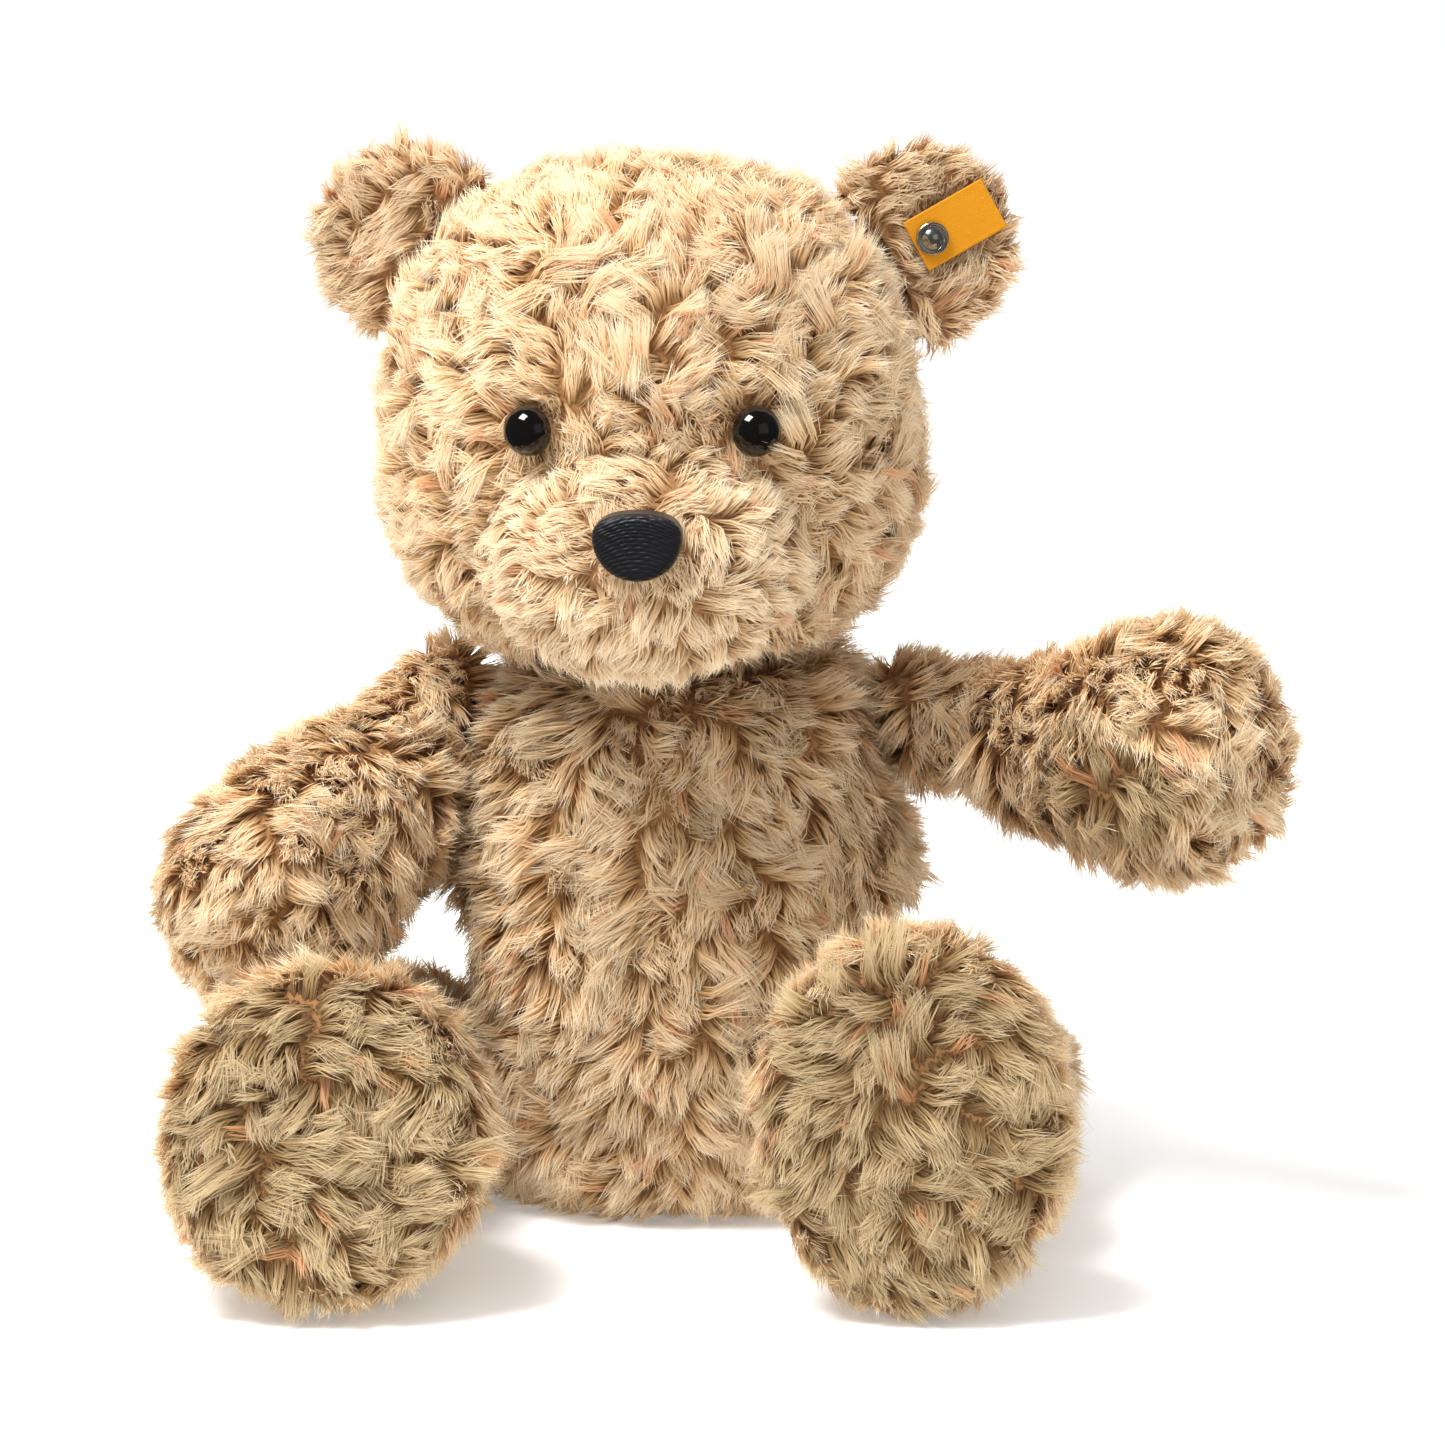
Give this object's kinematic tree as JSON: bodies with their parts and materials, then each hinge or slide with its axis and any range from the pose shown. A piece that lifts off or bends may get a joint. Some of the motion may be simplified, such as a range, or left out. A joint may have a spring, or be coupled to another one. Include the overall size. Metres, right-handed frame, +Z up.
{
  "type": "jointed teddy bear",
  "caption": "Seated plush bear with a turning head, arms and legs on hidden disc joints, glossy dome eyes, a stitched nose and a studded cloth tag in one ear.",
  "frame": {"origin": "centre of the flat seat under the torso, on the floor", "axes": "+Z up, -Y the way the bear faces, +X the bear's left"},
  "size_m": [0.3044, 0.2384, 0.2896],
  "materials": {
    "plush": "long golden beige pile",
    "ear_plush": "long golden beige pile",
    "muzzle_plush": "cream pile",
    "pad_plush": "short grey beige pile",
    "stuffing": "loose fibre",
    "washer_plastic": "moulded",
    "lock_plastic": "moulded",
    "eye_gloss": "polished black",
    "nose_thread": "black satin thread",
    "nose_felt": "black felt",
    "rivet_metal": "polished",
    "tag_cloth": "plain woven ribbon"
  },
  "bodies": {
    "torso": {"torso_left_panel": "plush", "torso_right_panel": "plush", "torso_stuffing": "stuffing", "neck_washer": "washer_plastic", "shoulder_washer_left": "washer_plastic", "shoulder_washer_right": "washer_plastic", "hip_washer_left": "washer_plastic", "hip_washer_right": "washer_plastic"},
    "head": {"head_left_panel": "plush", "head_right_panel": "plush", "head_gusset": "plush", "muzzle_panel": "muzzle_plush", "head_stuffing": "stuffing", "neck_disc": "washer_plastic", "neck_lock_washer": "lock_plastic", "nose_felt_core": "nose_felt", "nose_stitching": "nose_thread", "eye_left": "eye_gloss", "eye_right": "eye_gloss", "eye_washer_left": "washer_plastic", "eye_washer_right": "washer_plastic", "ear_left_front": "ear_plush", "ear_left_back": "ear_plush", "ear_right_front": "ear_plush", "ear_right_back": "ear_plush", "ear_rivet_cap": "rivet_metal", "ear_rivet_back": "rivet_metal", "ear_tag": "tag_cloth"},
    "arm_left": {"arm_left_outer": "plush", "arm_left_inner": "plush", "paw_pad_left": "pad_plush", "arm_left_stuffing": "stuffing", "shoulder_disc_left": "washer_plastic", "shoulder_lock_washer_left": "lock_plastic"},
    "leg_left": {"leg_left_outer": "plush", "leg_left_inner": "plush", "sole_left": "pad_plush", "leg_left_stuffing": "stuffing", "hip_disc_left": "washer_plastic", "hip_lock_washer_left": "lock_plastic"},
    "arm_right": {"arm_right_outer": "plush", "arm_right_inner": "plush", "paw_pad_right": "pad_plush", "arm_right_stuffing": "stuffing", "shoulder_disc_right": "washer_plastic", "shoulder_lock_washer_right": "lock_plastic"},
    "leg_right": {"leg_right_outer": "plush", "leg_right_inner": "plush", "sole_right": "pad_plush", "leg_right_stuffing": "stuffing", "hip_disc_right": "washer_plastic", "hip_lock_washer_right": "lock_plastic"}
  },
  "joints": [
    {"name": "neck_turn", "type": "hinge", "parent": "torso", "child": "head", "pos_m": [-0.002, -0.004, 0.153], "axis": [0, 0, 1], "range_deg": [-35, 35]},
    {"name": "shoulder_left_turn", "type": "hinge", "parent": "torso", "child": "arm_left", "pos_m": [0.05345, 0, 0.127], "axis": [-0.9511, 0, -0.309], "range_deg": [-60, 60]},
    {"name": "shoulder_right_turn", "type": "hinge", "parent": "torso", "child": "arm_right", "pos_m": [-0.05345, 0, 0.127], "axis": [-0.9511, 0, 0.309], "range_deg": [0, 35]},
    {"name": "hip_left_turn", "type": "hinge", "parent": "torso", "child": "leg_left", "pos_m": [0.054, -0.008, 0.036], "axis": [-1, 0, 0], "range_deg": [-90, 8]},
    {"name": "hip_right_turn", "type": "hinge", "parent": "torso", "child": "leg_right", "pos_m": [-0.054, -0.008, 0.036], "axis": [-1, 0, 0], "range_deg": [-90, 0]}
  ]
}
